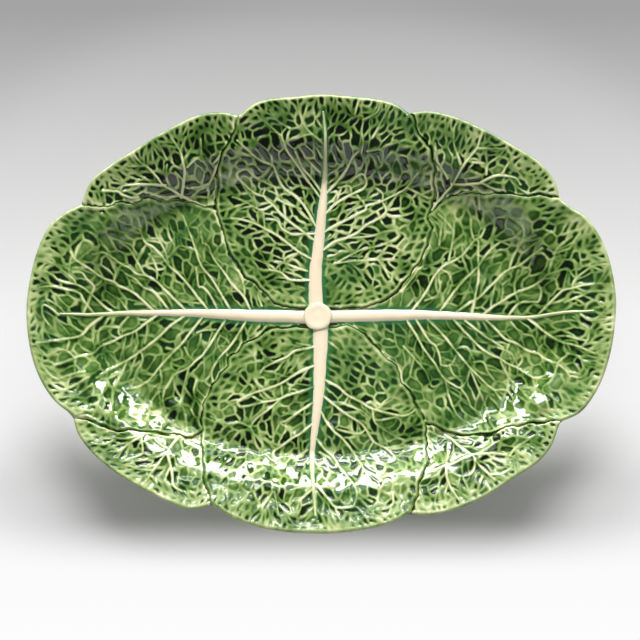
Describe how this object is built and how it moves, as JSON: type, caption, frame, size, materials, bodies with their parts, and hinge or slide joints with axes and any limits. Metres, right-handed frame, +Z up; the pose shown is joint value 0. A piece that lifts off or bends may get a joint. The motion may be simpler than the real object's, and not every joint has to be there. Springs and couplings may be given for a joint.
{
  "type": "serving platter",
  "caption": "Oval glazed earthenware serving platter moulded as overlapping savoy cabbage leaves, with raised midribs meeting at a cut stem, a dished well and a foot ring.",
  "frame": {"origin": "centre of the platter's footprint, on the surface that the foot ring rests on", "axes": "+X along the length towards the right leaf's tip, +Y across the width towards the upper leaf's tip, +Z up out of the well"},
  "size_m": [0.43, 0.323, 0.0447],
  "materials": {
    "leaf_glaze": "gloss translucent green glaze, thin and pale on the raised veins, dark where it pools",
    "rib_glaze": "gloss cream glaze with green pooled along the edges",
    "under_glaze": "gloss green glaze",
    "bare_clay": "unglazed fired earthenware on the flat, glaze on its sides"
  },
  "bodies": {
    "root": {"platter_body": "under_glaze", "foot_ring": "bare_clay", "upper_left_leaf": "leaf_glaze", "upper_right_leaf": "leaf_glaze", "lower_left_leaf": "leaf_glaze", "lower_right_leaf": "leaf_glaze", "left_leaf": "leaf_glaze", "right_leaf": "leaf_glaze", "upper_leaf": "leaf_glaze", "lower_leaf": "leaf_glaze", "left_midrib": "rib_glaze", "right_midrib": "rib_glaze", "upper_midrib": "rib_glaze", "lower_midrib": "rib_glaze", "stem_button": "rib_glaze"}
  },
  "joints": []
}
